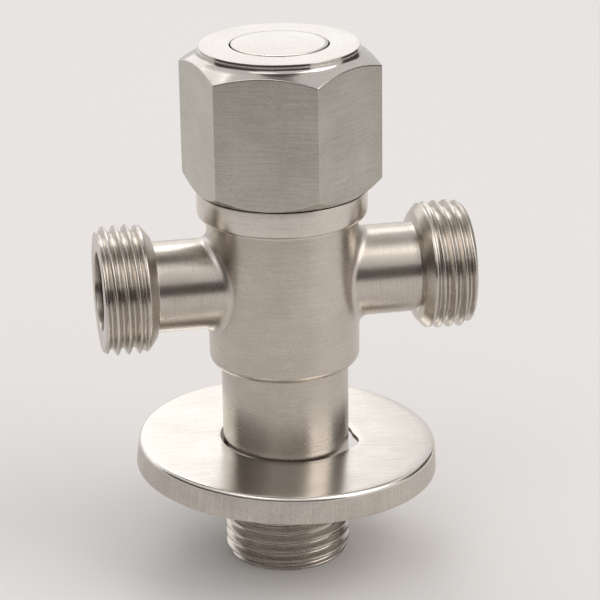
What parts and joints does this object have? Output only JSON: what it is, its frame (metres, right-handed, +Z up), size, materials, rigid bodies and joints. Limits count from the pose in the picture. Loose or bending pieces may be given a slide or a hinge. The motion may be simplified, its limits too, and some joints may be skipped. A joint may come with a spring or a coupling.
{
  "type": "three way valve",
  "caption": "Stainless steel angle valve with a male threaded inlet below, two opposed male threaded outlets, a hexagonal quarter-turn handle and a loose wall flange.",
  "frame": {"origin": "centre of the inlet's end face, which is also the centre of the underside of the bounding box", "axes": "+Z up the barrel from the inlet to the handle; +X along the right-hand outlet; +Y away from the viewer; the outlets lie along X"},
  "size_m": [0.0602, 0.05, 0.0877],
  "materials": {
    "body_steel": "finely turned and brushed round the barrel, satin",
    "flange_steel": "pressed sheet, brushed in short strokes, satin",
    "handle_steel": "flats finely brushed across, cones and boss turned bright",
    "button_steel": "turned bright",
    "brass": "machined",
    "spring_steel": "bright zinc plate",
    "black_rubber": "moulded, satin",
    "white_plastic": "moulded, matte",
    "white_ceramic": "lapped alumina, smooth"
  },
  "bodies": {
    "valve": {"valve_body": "body_steel", "cartridge_housing": "brass", "housing_oring": "black_rubber", "disc_seal": "black_rubber", "seal_support_ring": "white_plastic", "fixed_disc": "white_ceramic"},
    "handle": {"handle_shell": "handle_steel", "spline_insert": "brass", "handle_screw": "spring_steel", "spring_washer": "spring_steel", "handle_button": "button_steel", "button_oring": "black_rubber", "stem": "brass", "stem_oring_lower": "black_rubber", "stem_oring_upper": "black_rubber", "thrust_washer": "white_plastic", "stop_ring": "brass", "stem_clip": "spring_steel", "moving_disc": "white_ceramic"},
    "flange": {"wall_flange": "flange_steel"}
  },
  "joints": [
    {"name": "handle_turn", "type": "hinge", "parent": "valve", "child": "handle", "pos_m": [0, 0, 0.0757], "axis": [0, 0, 1], "range_deg": [0, 90]},
    {"name": "flange_slide", "type": "slide", "parent": "valve", "child": "flange", "axis": [0, 0, 1], "range_m": [-0.0145, 0.0125]}
  ]
}
